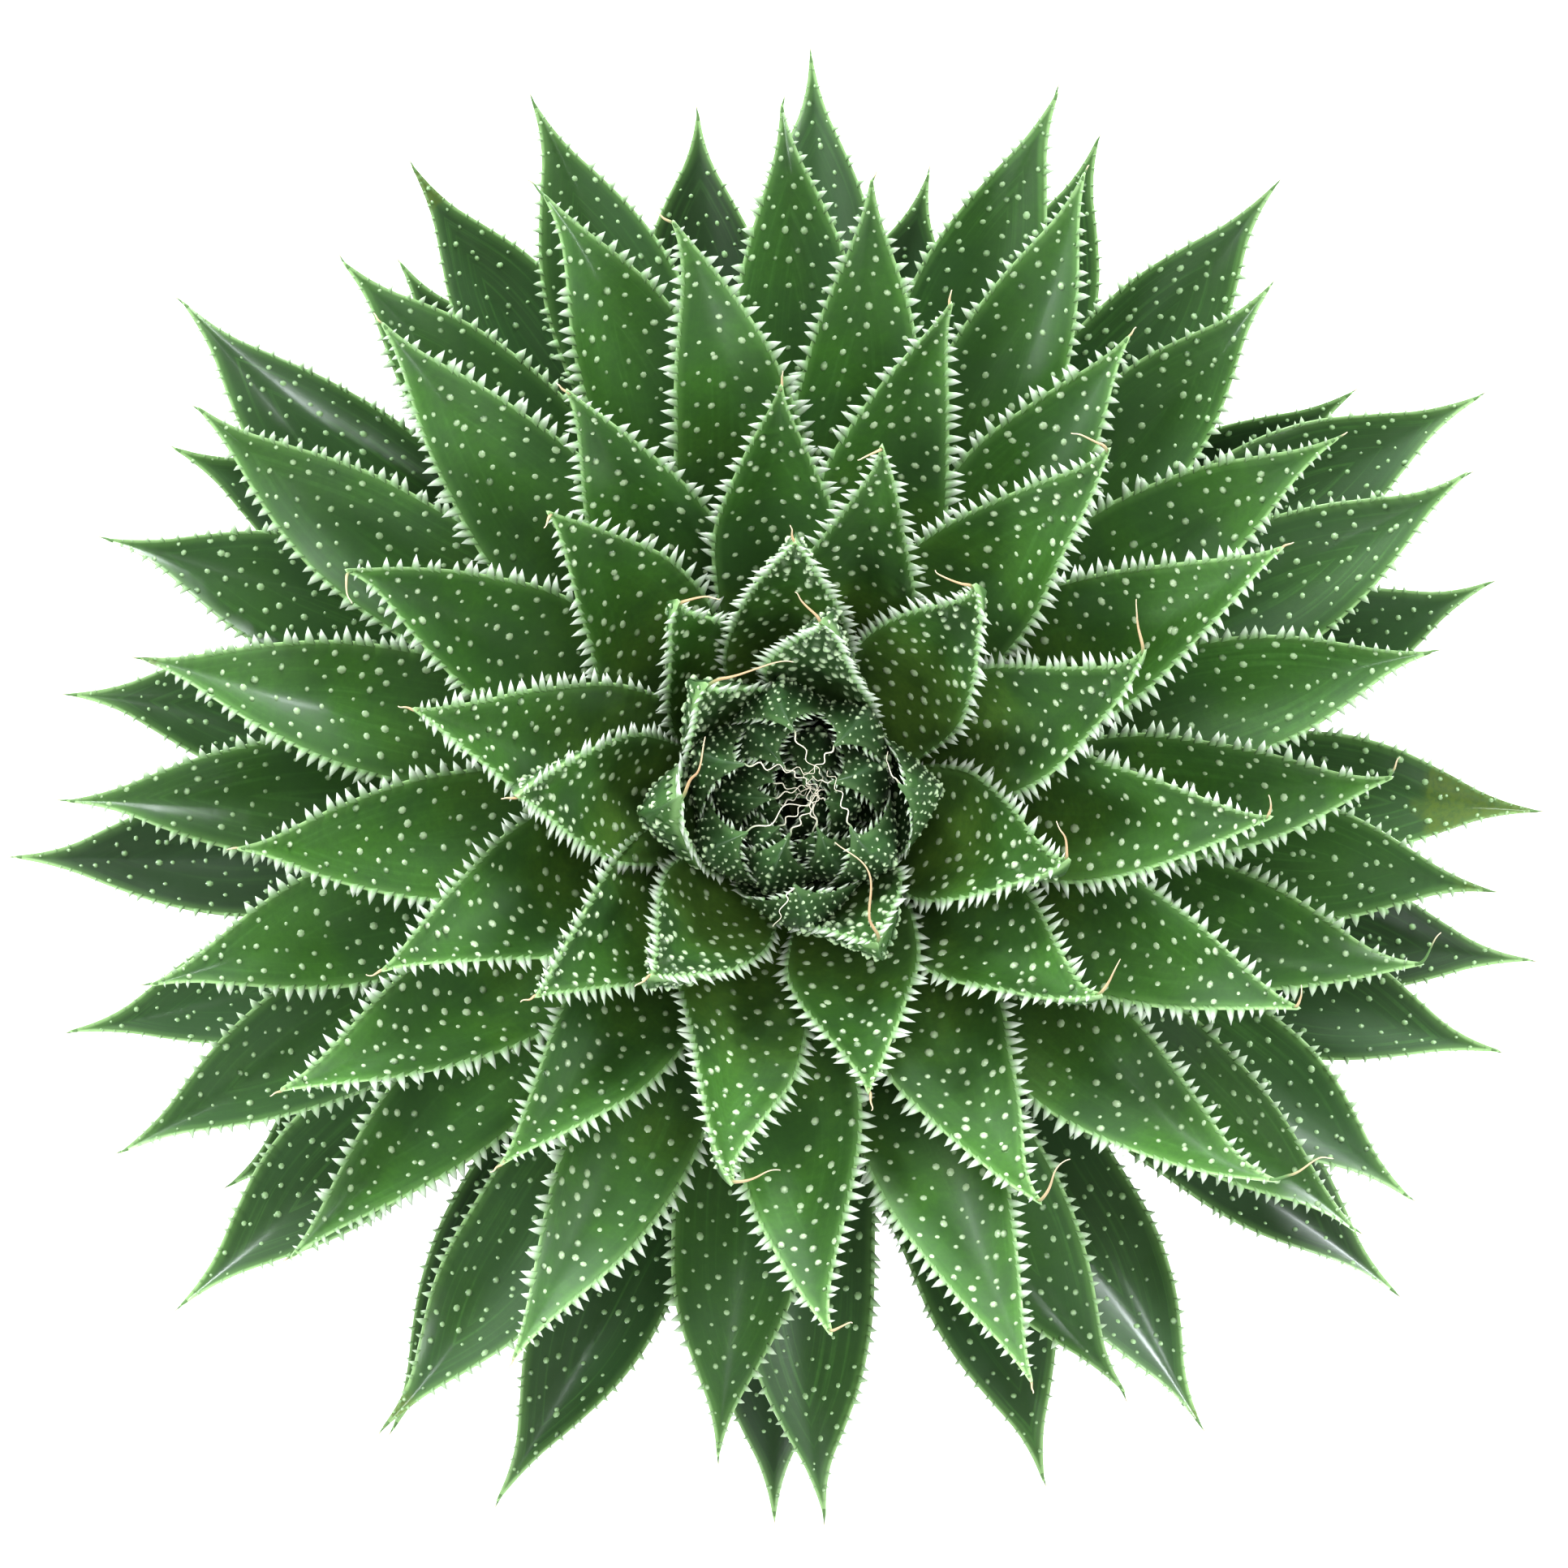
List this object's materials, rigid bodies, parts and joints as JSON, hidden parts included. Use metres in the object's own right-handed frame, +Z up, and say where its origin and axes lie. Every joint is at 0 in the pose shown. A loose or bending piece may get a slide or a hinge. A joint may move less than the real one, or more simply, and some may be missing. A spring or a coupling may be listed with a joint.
{
  "type": "potted aloe plant",
  "caption": "Potted lace aloe: a dense rosette of white-toothed, tubercled green leaves on a short stem, planted in a plain round clay pot.",
  "frame": {"origin": "middle of the pot's foot, on the surface that it stands on", "axes": "+Z up along the pot's axis; the view looking down the -Z axis has +Y at its top and +X at its right"},
  "size_m": [0.1805, 0.1741, 0.1829],
  "materials": {
    "clay": "matte",
    "soil": "matte",
    "stem": "matte",
    "young_leaf": "satin",
    "leaf": "satin",
    "old_leaf": "satin"
  },
  "bodies": {
    "root": {"pot": "clay", "soil": "soil", "stem": "stem", "bud": "young_leaf", "leaf_01": "young_leaf", "leaf_02": "young_leaf", "leaf_03": "young_leaf", "leaf_04": "young_leaf", "leaf_05": "young_leaf", "leaf_06": "young_leaf", "leaf_07": "leaf", "leaf_08": "leaf", "leaf_09": "leaf", "leaf_10": "leaf", "leaf_11": "leaf", "leaf_12": "leaf", "leaf_13": "leaf", "leaf_14": "leaf", "leaf_15": "leaf", "leaf_16": "leaf", "leaf_17": "leaf", "leaf_18": "leaf", "leaf_19": "leaf", "leaf_20": "leaf", "leaf_21": "leaf", "leaf_22": "leaf", "leaf_23": "leaf", "leaf_24": "leaf", "leaf_25": "leaf", "leaf_26": "leaf", "leaf_27": "leaf", "leaf_28": "leaf", "leaf_29": "leaf", "leaf_30": "leaf", "leaf_31": "leaf", "leaf_32": "leaf", "leaf_33": "leaf", "leaf_34": "leaf", "leaf_35": "leaf", "leaf_36": "leaf", "leaf_37": "leaf", "leaf_38": "leaf", "leaf_39": "leaf", "leaf_40": "leaf", "leaf_41": "leaf", "leaf_42": "leaf", "leaf_43": "leaf", "leaf_44": "leaf", "leaf_45": "leaf", "leaf_46": "leaf", "leaf_47": "leaf", "leaf_48": "leaf", "leaf_49": "leaf", "leaf_50": "leaf", "leaf_51": "leaf", "leaf_52": "leaf", "leaf_53": "leaf", "leaf_54": "leaf", "leaf_55": "leaf", "lower_leaves": "old_leaf"}
  },
  "joints": []
}
